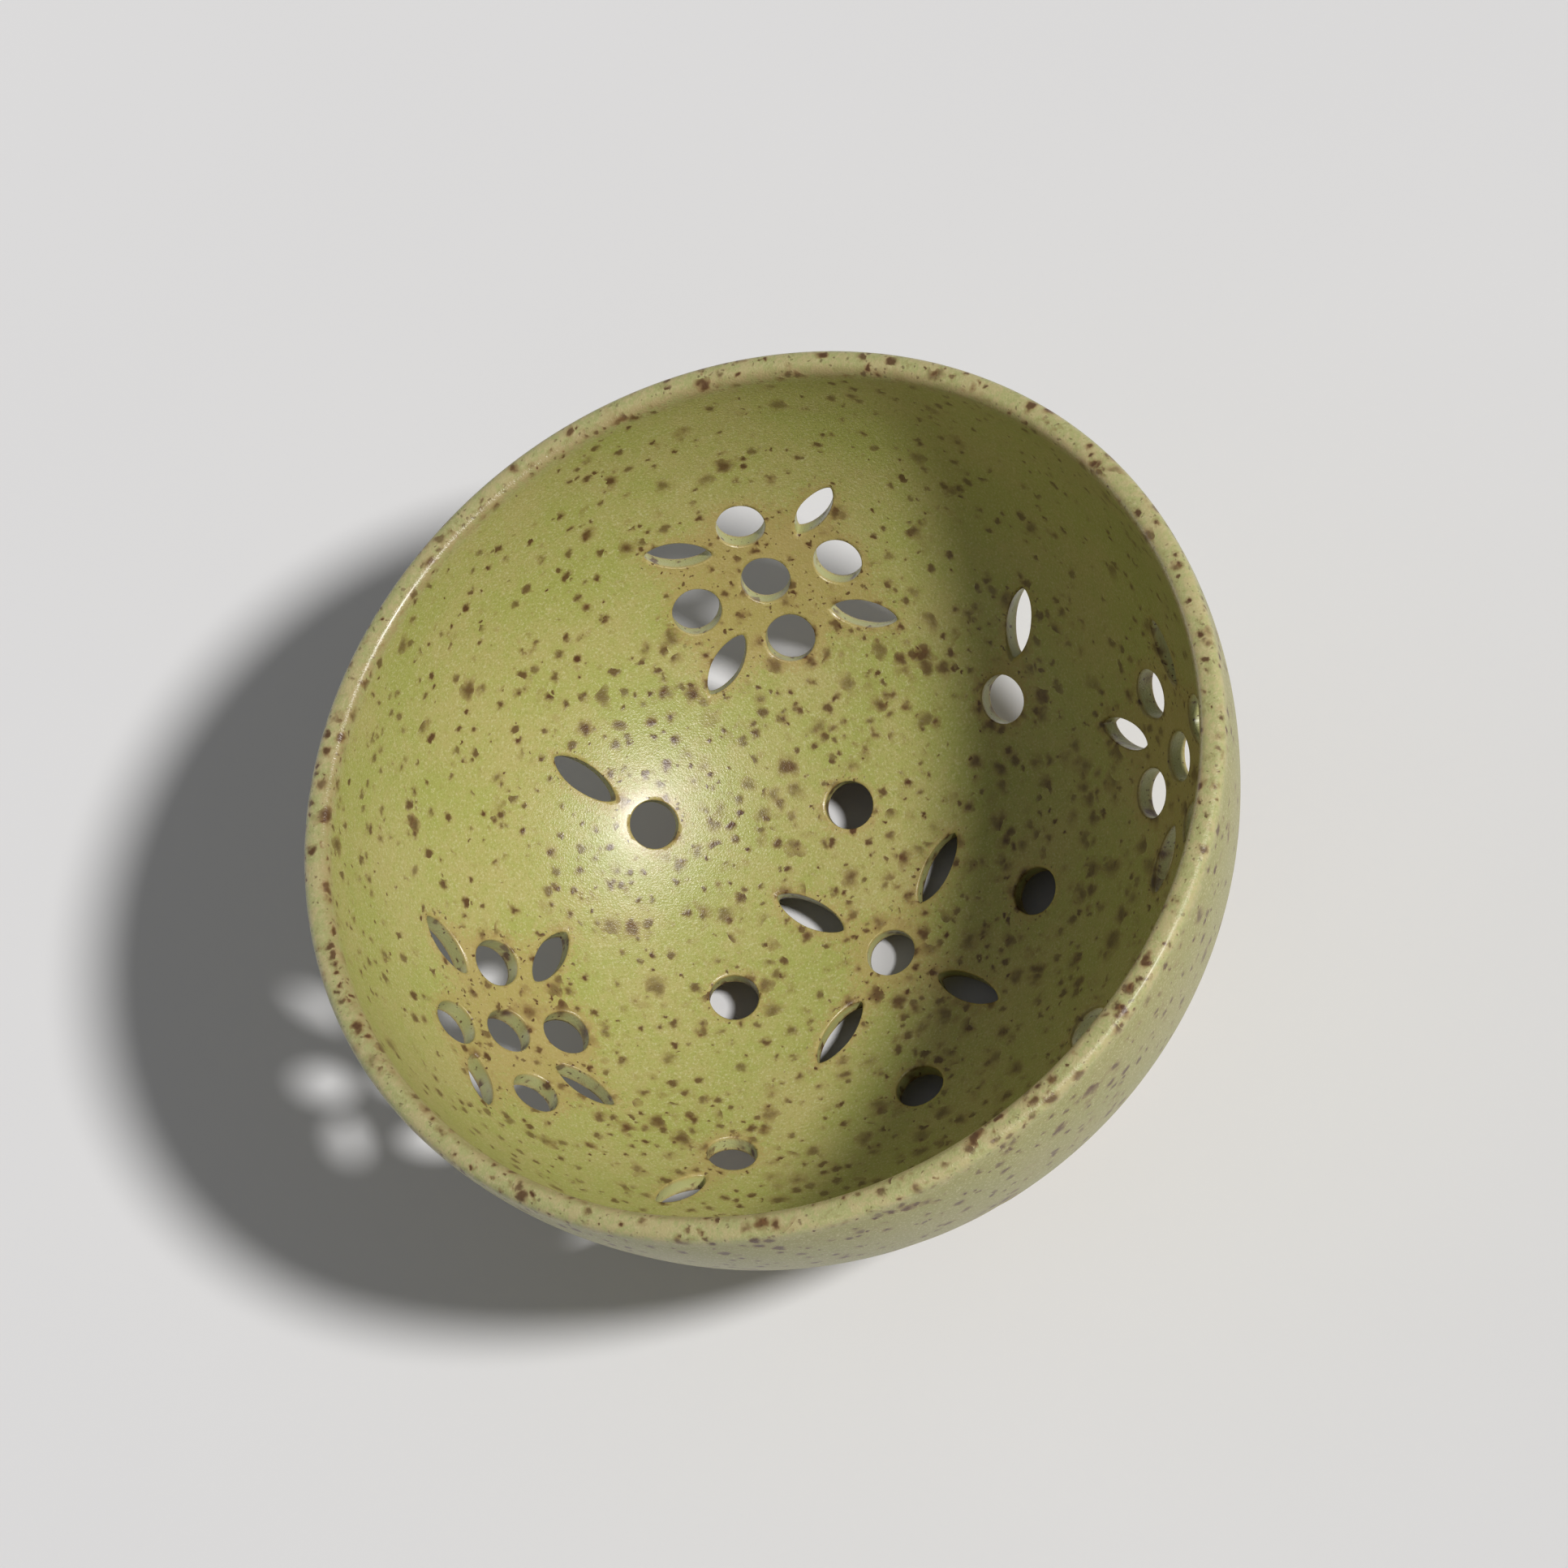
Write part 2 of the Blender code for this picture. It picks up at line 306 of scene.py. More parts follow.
def wholeBowl():
    # inner and outer sheets share one triangulation and are joined over the lip
    sheet = np.concatenate([latticePoints(), holeRings(), rimPoints()])
    flat = [Vector((arc * math.cos(azimuth), arc * math.sin(azimuth))) for arc, azimuth in sheet]
    triangles, sources = delaunay_2d_cdt(flat, [], [], 0, bowlSizes["sameSpot"])[2:4]
    triangles = np.array(triangles)
    arc, azimuth = sheet[[source[0] for source in sources]].T
    radius, height, normalOut, normalUp = wallFrame(arc)
    thick = wallThickness(arc)
    around = np.stack([np.cos(azimuth), np.sin(azimuth)], 1)
    inner = np.column_stack([around * radius[:, None], height])
    outer = np.column_stack([around * (radius + normalOut * thick)[:, None], height + normalUp * thick])
    count = len(arc)
    points = [inner, outer]
    faces = triangles.tolist() + (triangles[:, ::-1] + count).tolist()
    rim = np.where(arc > wallArc - bowlSizes["sameSpot"])[0]
    rim = rim[np.argsort(azimuth[rim] % math.tau)]
    rings = [rim]
    for lipRadius, height in lipProfile():
        rings.append(np.arange(len(rim)) + sum(len(group) for group in points))
        points.append(np.column_stack([around[rim] * lipRadius, np.full(len(rim), height)]))
    rings.append(rim + count)
    for low, high in zip(rings, rings[1:]):
        quads = np.stack([low, high, np.roll(high, -1), np.roll(low, -1)], 1)
        faces += quads.tolist()
    return meshObject("pierced_bowl_glazed", np.concatenate(points), faces)


# The cutter of a hole: a spool that runs straight through the wall and flares at its two softened edges
cutterSizes = {
    "innerSkin": 0.0001,  # the inner edge's rounding starts this far off the surface
    "outerSkin": 0.0002,
    "endLength": 0.0016,  # how far the spool stands out past the wall
    "endFlare": 0.0012,
    "roundFrom": 20.0,  # degrees of each edge's rounding
    "roundTo": 90.0,
    "roundSteps": 5,
    "wallShares": (0.25, 0.45, 0.65, 0.82),  # stations down the straight wall
}


def edgeStations(surface, outward):
    # (depth, spread) from the spool's end to the straight wall, at one surface of the bowl
    soft = holeSizes["softEdge"]
    stations = [(surface + outward * cutterSizes["endLength"], soft + cutterSizes["endFlare"])]
    degrees = np.linspace(cutterSizes["roundFrom"], cutterSizes["roundTo"], cutterSizes["roundSteps"])
    for angle in np.radians(degrees):
        depth = surface - outward * soft * (1 - math.cos(angle))
        stations.append((depth, soft * (1 - math.sin(angle))))
    return stations


def holeCutter(kind):
    wall = (bowlSizes["floorThickness"] + bowlSizes["wallThickness"]) / 2
    stations = edgeStations(-cutterSizes["innerSkin"], -1)
    stations += [(wall * share, 0.0) for share in cutterSizes["wallShares"]]
    stations += edgeStations(wall + cutterSizes["outerSkin"], 1)[::-1]
    count = holeSizes["sides"]
    points = []
    for depth, spread in stations:
        level, climb = outlinePoints(kind, spread)
        points.append(np.column_stack([level, climb, np.full(count, depth)]))
    faces = [list(range(count))]
    for low in range(0, (len(stations) - 1) * count, count):
        for side in range(count):
            after = (side + 1) % count
            faces.append([low + after, low + side, low + count + side, low + count + after])
    last = (len(stations) - 1) * count
    faces.append(list(range(last + count - 1, last - 1, -1)))
    return meshObject(cutterNames[kind], np.concatenate(points), faces)


def markObject():
    # one point for each hole, carrying its kind and the turn that squares it to the wall
    places, turns, kinds = [], [], []
    for kind, arc, azimuth, turn in holes:
        radius, height, normalOut, normalUp = (float(value) for value in wallFrame(arc))
        if arc == 0.0:
            normalOut, normalUp = 0.0, -1.0
        outward = Vector((math.cos(azimuth), math.sin(azimuth), 0.0))
        upward = Vector((0.0, 0.0, 1.0))
        climb = -normalUp * outward + normalOut * upward
        through = normalOut * outward + normalUp * upward
        axes = Matrix((upward.cross(outward), climb, through)).transposed()
        turns.append((axes @ Matrix.Rotation(turn, 3, "Z")).to_quaternion())
        places.append(outward * radius + upward * height)
        kinds.append(kind)
    obj = meshObject("holeMarks", [list(place) for place in places], [])
    turnData = obj.data.attributes.new("holeTurn", "QUATERNION", "POINT")
    turnData.data.foreach_set("value", np.array([list(turn) for turn in turns]).ravel())
    obj.data.attributes.new("holeKind", "INT", "POINT").data.foreach_set("value", kinds)
    return obj


def addNode(tree, kind, settings, sockets):
    node = tree.nodes.new(kind)
    for name, value in settings.items():
        setattr(node, name, value)
    for name, value in sockets.items():
        if isinstance(value, bpy.types.NodeSocket):
            tree.links.new(value, node.inputs[name])
        else:
            node.inputs[name].default_value = value
    return node


piercingInputs = (
    ("Geometry", "NodeSocketGeometry"),
    ("Hole Marks", "NodeSocketObject"),
    ("Cutters", "NodeSocketCollection"),
    ("Edge Wobble", "NodeSocketFloat"),
    ("Wobble Size", "NodeSocketFloat"),
    ("Seed", "NodeSocketFloat"),
    ("Glaze", "NodeSocketMaterial"),
)


def namedAttribute(tree, name, dataType):
    settings = {"data_type": dataType}
    return addNode(tree, "GeometryNodeInputNamedAttribute", settings, {"Name": name}).outputs["Attribute"]


def unevenCutters(tree, given):
    # a cutter on every mark, its surface moved about by noise
    markInfo = addNode(tree, "GeometryNodeObjectInfo", {}, {"Object": given["Hole Marks"]})
    tools = addNode(
        tree, "GeometryNodeCollectionInfo", {},
        {"Collection": given["Cutters"], "Separate Children": True, "Reset Children": True},
    )
    placed = addNode(
        tree, "GeometryNodeInstanceOnPoints", {},
        {
            "Points": markInfo.outputs["Geometry"],
            "Instance": tools.outputs["Instances"],
            "Pick Instance": True,
            "Instance Index": namedAttribute(tree, "holeKind", "INT"),
            "Rotation": namedAttribute(tree, "holeTurn", "QUATERNION"),
        },
    )
    real = addNode(tree, "GeometryNodeRealizeInstances", {}, {"Geometry": placed.outputs["Instances"]})
    place = tree.nodes.new("GeometryNodeInputPosition")
    noise = addNode(
        tree, "ShaderNodeTexNoise", {"noise_dimensions": "4D"},
        {"Vector": place.outputs[0], "W": given["Seed"], "Scale": given["Wobble Size"], "Detail": 1.0},
    )
    centred = addNode(
        tree, "ShaderNodeVectorMath", {"operation": "SUBTRACT"},
        {0: noise.outputs["Color"], 1: (0.5, 0.5, 0.5)},
    )
    stray = addNode(
        tree, "ShaderNodeVectorMath", {"operation": "SCALE"},
        {0: centred.outputs["Vector"], "Scale": given["Edge Wobble"]},
    )
    uneven = addNode(
        tree, "GeometryNodeSetPosition", {},
        {"Geometry": real.outputs["Geometry"], "Offset": stray.outputs["Vector"]},
    )
    return uneven.outputs["Geometry"]


def piercingTree():
    tree = bpy.data.node_groups.new("pierceWall", "GeometryNodeTree")
    tree.interface.new_socket("Geometry", in_out="OUTPUT", socket_type="NodeSocketGeometry")
    for name, socketType in piercingInputs:
        tree.interface.new_socket(name, in_out="INPUT", socket_type=socketType)
    given = tree.nodes.new("NodeGroupInput").outputs
    cut = addNode(
        tree, "GeometryNodeMeshBoolean", {"operation": "DIFFERENCE", "solver": "MANIFOLD"},
        {"Mesh 1": given["Geometry"], "Mesh 2": unevenCutters(tree, given)},
    )
    smooth = addNode(tree, "GeometryNodeSetShadeSmooth", {}, {0: cut.outputs["Mesh"]})
    whole = addNode(tree, "GeometryNodeRealizeInstances", {}, {"Geometry": smooth.outputs[0]})
    painted = addNode(
        tree, "GeometryNodeSetMaterial", {},
        {"Geometry": whole.outputs["Geometry"], "Material": given["Glaze"]},
    )
    result = tree.nodes.new("NodeGroupOutput")
    tree.links.new(painted.outputs["Geometry"], result.inputs["Geometry"])
    return tree


def setInputs(modifier, values):
    for item in modifier.node_group.interface.items_tree:
        if item.in_out == "INPUT" and item.name in values:
            modifier[item.identifier] = values[item.name]


def bakeModifiers(obj):
    # replaces an object's mesh by what its modifiers make of it
    graph = bpy.context.evaluated_depsgraph_get()
    mesh = bpy.data.meshes.new_from_object(obj.evaluated_get(graph))
    obj.modifiers.clear()
    obj.data = mesh


def piercedBowl(glaze):
    bowl = wholeBowl()
    print("bowl sheet", len(bowl.data.polygons), "faces")
    cutters = bpy.data.collections.new("holeCutters")
    for kind in (roundHole, leafHole, clusterLeaf):
        tool = holeCutter(kind)
        bpy.context.scene.collection.objects.unlink(tool)
        cutters.objects.link(tool)
    points = markObject()
    modifier = bowl.modifiers.new("pierce", "NODES")
    modifier.node_group = piercingTree()
    setInputs(modifier, {
        "Hole Marks": points,
        "Cutters": cutters,
        "Edge Wobble": holeSizes["wobble"],
        "Wobble Size": holeSizes["wobbleSize"],
        "Seed": float(holeSizes["seed"]),
        "Glaze": glaze,
    })
    bakeModifiers(bowl)
    for helper in [points, *cutters.objects]:
        bpy.data.objects.remove(helper)
    bpy.data.collections.remove(cutters)
    print("bowl pierced", len(bowl.data.polygons), "faces")
    return bowl


# Marks on the surface that the glaze reads
markSizes = {
    "edgeFade": 0.0016,  # over which a hole's edge fades out
    "fieldFade": 0.0030,  # the same for the field that all the holes add to
    "wallSkin": 0.0002,  # a hole's wall starts this far under either surface
    "wallFade": 0.0004,
    "lipBand": 0.004,  # below the lip, with no hole in it
    "lipFade": 0.012,
    "outsideFrom": 0.4,  # shares of the wall's thickness between which inside becomes outside
    "outsideTo": 0.6,
}


def wallPlace(points):
    # arc, azimuth and depth under the inner surface, found by the slope from the middle of the mouth
    radius = np.hypot(points[:, 0], points[:, 1])
    drop = lipHeight - points[:, 2]
    curveDrop = lipHeight - curveHeight
    slope = np.arctan2(radius, drop)
    curveSlope = np.arctan2(curveRadius, curveDrop)
    arc = np.interp(slope, curveSlope, curveArc)
    innerReach = np.interp(slope, curveSlope, np.hypot(curveRadius, curveDrop))
    return arc, np.arctan2(points[:, 1], points[:, 0]), np.hypot(radius, drop) - innerReach


def surfaceMarks(points, arc, azimuth, depth):
    # edge of the nearest hole, field of all holes, hole wall, lip, outside, way across the wall and climb
    m = markSizes
    nearest = np.full(len(points), holeSizes["wellClear"])
    field = np.zeros(len(points))
    for hole in holes:
        distance = holeDistance(hole, arc, azimuth)
        nearest = np.minimum(nearest, distance)
        field += np.exp(-np.maximum(distance, 0.0) / m["fieldFade"])
    thick = wallThickness(arc)
    buried = np.minimum(depth, thick - depth)
    belowLip = points[:, 2] < lipHeight - m["lipBand"]
    outside = (depth / thick - m["outsideFrom"]) / (m["outsideTo"] - m["outsideFrom"])
    return {
        "holeEdge": np.exp(-np.maximum(nearest, 0.0) / m["edgeFade"]),
        "holeField": field,
        "holeWall": np.clip((buried - m["wallSkin"]) / m["wallFade"], 0.0, 1.0) * belowLip,
        "lip": np.clip(1.0 - (bowlHigh[2] - points[:, 2]) / m["lipFade"], 0.0, 1.0),
        "outside": np.clip(outside, 0.0, 1.0),
        "across": np.clip(depth / thick, 0.0, 1.0),
        "climb": arc / wallArc,
    }


# How the thrown wall and rim stray from true; a lobe is its number round the bowl, strength and phase
wobbleSizes = {
    "wall": 0.00022,
    "wallLobes": ((2, 1.0, 0.7), (3, 0.6, -1.1), (5, 0.4, 2.0)),
    "wallRise": 1.5,  # power by which the wall's wobble grows with the climb
    "ridgeDepth": 0.12,  # half the height of the throwing ridges inside, as a share of the wall's wobble
    "ridgeWave": 780.0,  # in radians to a metre of arc
    "ridgeSway": 1.5,
    "ridgeSways": 2,
    "rim": 0.00037,
    "rimLobes": ((2, 1.0, -0.4), (3, 0.5, 1.0), (7, 0.35, 0.0)),
    "rimFrom": 0.8,  # the climb at which the rim's own wobble begins
}


def lobed(azimuth, lobes):
    # a wave round the bowl between -1 and 0, so that nothing strays past the true bowl
    wave = sum(strength * np.cos(count * azimuth + phase) for count, strength, phase in lobes)
    most = sum(strength for count, strength, phase in lobes)
    return (wave - most) / (2 * most)


def strayFromTrue(points, azimuth, arc, outside):
    w = wobbleSizes
    climb = arc / wallArc
    sway = w["ridgeSway"] * np.sin(w["ridgeSways"] * azimuth)
    ridges = w["ridgeDepth"] * (np.sin(arc * w["ridgeWave"] + sway) - 1.0) * (1 - outside)
    inward = w["wall"] * (lobed(azimuth, w["wallLobes"]) + ridges) * climb ** w["wallRise"]
    points[:, 0] += inward * np.cos(azimuth)
    points[:, 1] += inward * np.sin(azimuth)
    rimward = np.clip((climb - w["rimFrom"]) / (1 - w["rimFrom"]), 0.0, 1.0)
    points[:, 2] += w["rim"] * lobed(azimuth, w["rimLobes"]) * rimward


def markSurface(bowl):
    mesh = bowl.data
    points = np.empty(len(mesh.vertices) * 3)
    mesh.vertices.foreach_get("co", points)
    points = points.reshape(-1, 3)
    arc, azimuth, depth = wallPlace(points)
    values = surfaceMarks(points, arc, azimuth, depth)
    for name, value in values.items():
        layer = mesh.attributes.new(name, "FLOAT", "POINT")
        layer.data.foreach_set("value", np.asarray(value, np.float32))
    strayFromTrue(points, azimuth, arc, values["outside"])
    mesh.vertices.foreach_set("co", points.ravel())
    mesh.update()
    print("bowl marked and thrown off true")


# The foot: a turned ring of bare clay, its seat following the bowl's underside
footSizes = {
    "land": 0.0030,
    "draft": 0.0004,
    "edge": 0.0006,
    "waist": 0.0010,  # how far the outer side is hollowed
    "bedding": 0.0001,  # how far the slip beds the ring into the bowl, so that no light shows between them
    "steps": 288,
    "sidePoints": 14,
    "seatPoints": 10,
    "seatSamples": 2000,
    "softness": 4,  # steps round each edge of the land
}


def seatHeight(radius):
    # height of the seat, bedded into the bowl's underside, at this radius
    arc = np.linspace(0.0, wallArc, footSizes["seatSamples"])
    innerRadii, innerHeights, normalOut, normalUp = wallFrame(arc)
    reach = wallThickness(arc) - footSizes["bedding"]
    return np.interp(radius, innerRadii + normalOut * reach, innerHeights + normalUp * reach)


def footSection():
    # the ring's closed profile as (radius, height): seat, outer side, land with its soft edges, inner side
    f = footSizes
    edge = f["edge"]
    topOut = footHigh[0]
    sideOut = topOut - f["draft"]
    landOut = sideOut - edge
    landIn = landOut - f["land"]
    sideIn = landIn - edge
    topIn = sideIn - f["draft"]
    seat = np.linspace(topIn, topOut, f["seatPoints"])
    section = list(zip(seat, seatHeight(seat)))
    inTop, outTop = section[0][1], section[-1][1]
    down = np.linspace(0.0, 1.0, f["sidePoints"])[1:]
    quarter = np.linspace(0.0, math.pi / 2, f["softness"] + 1)
    for share in down:
        hollow = f["waist"] * math.sin(math.pi * share)
        section.append((topOut + (sideOut - topOut) * share - hollow, outTop + (edge - outTop) * share))
    for angle in quarter[1:]:
        section.append((landOut + edge * math.cos(angle), edge * (1 - math.sin(angle))))
    for angle in quarter:
        section.append((landIn - edge * math.sin(angle), edge * (1 - math.cos(angle))))
    for share in down[:-1]:
        section.append((sideIn + (topIn - sideIn) * share, edge + (inTop - edge) * share))
    return np.array(section)


def footRing(clay):
    radius, height = footSection().T
    count, steps = len(radius), footSizes["steps"]
    points, faces = [], []
    for step in range(steps):
        angle = math.tau * step / steps
        points.append(np.column_stack([radius * math.cos(angle), radius * math.sin(angle), height]))
        low = step * count
        high = (step + 1) % steps * count
        for place in range(count):
            after = (place + 1) % count
            faces.append([low + place, low + after, high + after, high + place])
    ring = meshObject("foot_ring_bare", np.concatenate(points), faces)
    ring.data.shade_smooth()
    ring.data.materials.append(clay)
    print("foot ring", len(faces), "faces")
    return ring


# Shader maths: a Wire is a socket that adds Math nodes when it is used in an expression
class Wire:
    def __init__(self, paint, socket):
        self.paint = paint
        self.socket = socket

    def maths(self, operation, first, second):
        return self.paint.add("ShaderNodeMath", {"operation": operation}, {0: first, 1: second})

    def __add__(self, other):
        return self.maths("ADD", self, other)

    def __radd__(self, other):
        return self.maths("ADD", other, self)

    def __sub__(self, other):
        return self.maths("SUBTRACT", self, other)

    def __rsub__(self, other):
        return self.maths("SUBTRACT", other, self)

    def __mul__(self, other):
        return self.maths("MULTIPLY", self, other)

    def __rmul__(self, other):
        return self.maths("MULTIPLY", other, self)

    def __truediv__(self, other):
        return self.maths("DIVIDE", self, other)

    def __pow__(self, other):
        return self.maths("POWER", self, other)

    def ruffled(self, amount, cloud):
        # made uneven by a cloud, whose noise averages a half
        return self + amount * (cloud - 0.5)


spotLooks = {
    "faintest": 0.60,  # strength of the palest spots
    "sizeSkew": 1.8,  # above 1, small spots outnumber large ones
    "fringeFrom": 1.6,  # a spot's fringe, in radii of the spot
    "fringeTo": 0.6,
    "bendDetail": 2.0,  # of the noise that bends spots out of round
    "bendRoughness": 0.5,
}


class Paint:
    def __init__(self, name, **constants):
        self.material = bpy.data.materials.new(name)
        self.material.use_nodes = True
        self.tree = self.material.node_tree
        self.shader = self.tree.nodes["Principled BSDF"]
        for socket, value in constants.items():
            self.shader.inputs[socket.replace("_", " ")].default_value = value
        self.place = self.add("ShaderNodeTexCoord", {}, {}, "Object")

    def add(self, kind, settings, sockets, out=0):
        plain = {}
        for name, value in sockets.items():
            plain[name] = value.socket if isinstance(value, Wire) else value
        return Wire(self, addNode(self.tree, kind, settings, plain).outputs[out])

    def feed(self, socket, wire):
        self.tree.links.new(wire.socket, self.shader.inputs[socket])

    def mark(self, name):
        return self.add("ShaderNodeAttribute", {"attribute_name": name}, {}, "Fac")

    def noise(self, scale, detail, roughness, shift=0.0, out="Fac"):
        settings = {}
        sockets = {"Vector": self.place, "Scale": scale, "Detail": detail, "Roughness": roughness}
        if shift:
            settings["noise_dimensions"] = "4D"
            sockets["W"] = shift
        return self.add("ShaderNodeTexNoise", settings, sockets, out)

    def ease(self, value, low, high, start=0.0, end=1.0):
        sockets = {"Value": value, "From Min": low, "From Max": high, "To Min": start, "To Max": end}
        return self.add("ShaderNodeMapRange", {"interpolation_type": "SMOOTHSTEP"}, sockets)

    def colour(self, share, first, second):
        def rgba(value):
            return value if isinstance(value, Wire) else (*value, 1.0)
        sockets = {0: share, 6: rgba(first), 7: rgba(second)}
        return self.add("ShaderNodeMix", {"data_type": "RGBA"}, sockets, 2)

    def vector(self, operation, sockets):
        return self.add("ShaderNodeVectorMath", {"operation": operation}, sockets)

    def strayed(self, amount, scale, shift=0.0):
        # the place moved about by noise, so that spots lose their roundness
        cloud = self.noise(scale, spotLooks["bendDetail"], spotLooks["bendRoughness"], shift, "Color")
        centred = self.vector("SUBTRACT", {0: cloud, 1: (0.5, 0.5, 0.5)})
        return self.vector("ADD", {0: self.place, 1: self.vector("SCALE", {0: centred, "Scale": amount})})

    def spots(self, cell, largest, smallest, softness, share, place):
        # scattered spots and their fringes: one to a cell, in this share of the cells, sizes in metres
        sockets = {"Vector": place, "Scale": 1.0 / cell, "Randomness": 1.0}
        distance = self.add("ShaderNodeTexVoronoi", {"feature": "F1"}, sockets, "Distance")
        cellColour = Wire(self, distance.socket.node.outputs["Color"])
        sizeLot = self.add("ShaderNodeSeparateColor", {}, {0: cellColour})
        shareLot, strengthLot = (Wire(self, socket) for socket in sizeLot.socket.node.outputs[1:3])
        strength = spotLooks["faintest"] + (1 - spotLooks["faintest"]) * strengthLot
        size = (smallest + (largest - smallest) * sizeLot ** spotLooks["sizeSkew"]) / cell
        there = self.add("ShaderNodeMath", {"operation": "LESS_THAN"}, {0: shareLot, 1: share}) * strength
        core = self.ease(distance, size, size * (1.0 - softness))
        fringe = self.ease(distance, size * spotLooks["fringeFrom"], size * spotLooks["fringeTo"])
        return core * there, fringe * there

    def bump(self, strength, depth, height):
        sockets = {"Strength": strength, "Distance": depth, "Height": height}
        self.feed("Normal", self.add("ShaderNodeBump", {}, sockets))


# The glaze, from its body up to the specks
glazeLooks = {
    "green": (0.350, 0.366, 0.096),
    "ochre": (0.425, 0.380, 0.140),
    # pale flecks of the sugar grain, partly real grain and partly painted glints
    "grainGlint": (0.540, 0.515, 0.270),
    "deep": (0.255, 0.250, 0.060),
    "inHole": (0.382, 0.382, 0.150),
    "thin": (0.405, 0.282, 0.105),
    "lipTan": (0.483, 0.414, 0.207),
    "lipGreen": (0.397, 0.402, 0.172),
    "lipBrown": (0.220, 0.118, 0.040),
    "outside": (0.305, 0.276, 0.104),
    "speck": (0.082, 0.032, 0.012),
    "fringe": (0.225, 0.120, 0.042),
}

# each cloud of noise: scale, detail, roughness and shift
glazeClouds = {
    "broad": (70.0, 4.0, 0.60),
    "fine": (700.0, 3.0, 0.65),
    "sugar": (2300.0, 2.0, 0.70, 5.2),
    "grain": (1500.0, 3.0, 0.65),
    "patch": (420.0, 3.0, 0.65, 2.3),
    "crowd": (75.0, 2.0, 0.50, 7.7),
    "silk": (3000.0, 2.0, 0.65),
    "peel": (650.0, 2.0, 0.50),
}

# the range over which each layer comes in, and for crisp specks their shares at its two ends
glazeRanges = {
    "ochre": (0.30, 0.74),
    "grainGlint": (0.53, 0.66),
    "deep": (0.46, 0.32),
    "thin": (0.60, 1.50),
    "crest": (0.68, 0.95),
    "lipTan": (0.40, 0.60),
    "lipGrainGlint": (0.54, 0.68),
    "worn": (0.78, 0.95),
    "inward": (0.45, 0.10),
    "scorched": (0.42, 0.30),
    "denser": (0.34, 0.58),
    "floorward": (0.70, 0.35),
    "rimward": (0.76, 0.92),
    "byHole": (0.60, 1.25),
    "crispShare": (0.64, 0.46, 0.25, 0.62),
}

# how far a cloud, or the nearest hole's edge, shifts each layer's border
glazeRuffles = {
    "ochre": 0.55,
    "thinEdge": 0.40,
    "thinGrain": 2.2,
    "thinFine": 0.6,
    "crest": 0.20,
    "lipTan": 0.5,
    "worn": 0.30,
    "scorched": 0.4,
    "crisp": 0.5,
}

# how much of what lies under it each layer covers
glazeShares = {
    "outside": 0.70,
    "grainGlint": 0.66,
    "deep": 0.52,
    "thin": 0.56,
    "crest": 0.85,
    "lipGrainGlint": 0.45,
    "worn": 0.38,
    "scorched": 0.30,
    "blotch": 0.95,
    "blotchFringe": 0.45,
    "crispFringe": 0.40,
    "onLip": 0.9,
    "onLipFringe": 0.7,
}

# each kind of iron speck: the cell that holds one, its largest and smallest radius, and its softness
speckSizes = {
    "crisp": (0.0021, 0.00122, 0.00030, 0.60),
    "blotch": (0.0034, 0.00205, 0.00075, 0.76),
    "small": (0.0010, 0.00042, 0.00012, 0.55),
    "onLip": (0.0025, 0.00125, 0.00040, 0.55),
}

speckLooks = {
    "bend": (0.0016, 800.0),  # amount, scale and shift of the noise that makes specks uneven
    "wideBend": (0.0030, 480.0, 3.1),
    "blotchLeast": 0.40,  # share of the blotches that stay where specks are sparse
    "blotchOnWall": 0.16,
    "blotchOnFloor": 0.80,
    "crispOnFloor": 0.12,
    "small": 0.75,
    "smallByEdge": 0.8,
    "smallByRim": 0.6,
    "onLip": 0.62,
}

glazeFinish = {
    "ior": 1.50,
    "roughness": 0.22,
    "silkRoughness": 0.18,
    "thinRoughness": 0.06,
    "outsideRoughness": 0.12,
    "coat": 0.35,
    "coatLostOutside": 0.22,
    "coatRoughness": 0.24,
    "peelRelief": 0.22,
    "silkRelief": 0.75,
    "lipRelief": 0.90,
    "crispPit": 0.30,
    "smallPit": 0.20,
    "bump": 0.34,
    "bumpDepth": 0.0004,
}


def glazeBody(paint, mark, cloud):
    # clouds of green and ochre with a sugary grain, its pale flecks partly painted glints;
    # tan where the glaze is thin: round the holes, and most where they crowd together
    look, span, ruffle, share = glazeLooks, glazeRanges, glazeRuffles, glazeShares
    ochre = paint.ease(cloud["broad"].ruffled(ruffle["ochre"], cloud["fine"]), *span["ochre"])
    body = paint.colour(ochre, look["green"], look["ochre"])
    body = paint.colour(mark["outside"] * share["outside"], body, look["outside"])
    for name in ("grainGlint", "deep"):
        body = paint.colour(paint.ease(cloud["sugar"], *span[name]) * share[name], body, look[name])
    thin = mark["holeField"] + ruffle["thinEdge"] * mark["holeEdge"]
    thin = thin.ruffled(ruffle["thinGrain"], cloud["grain"]).ruffled(ruffle["thinFine"], cloud["fine"])
    thin = paint.ease(thin, *span["thin"])
    body = paint.colour(thin * share["thin"], body, look["thin"])
    return paint.colour(mark["holeWall"], body, look["inHole"]), thin


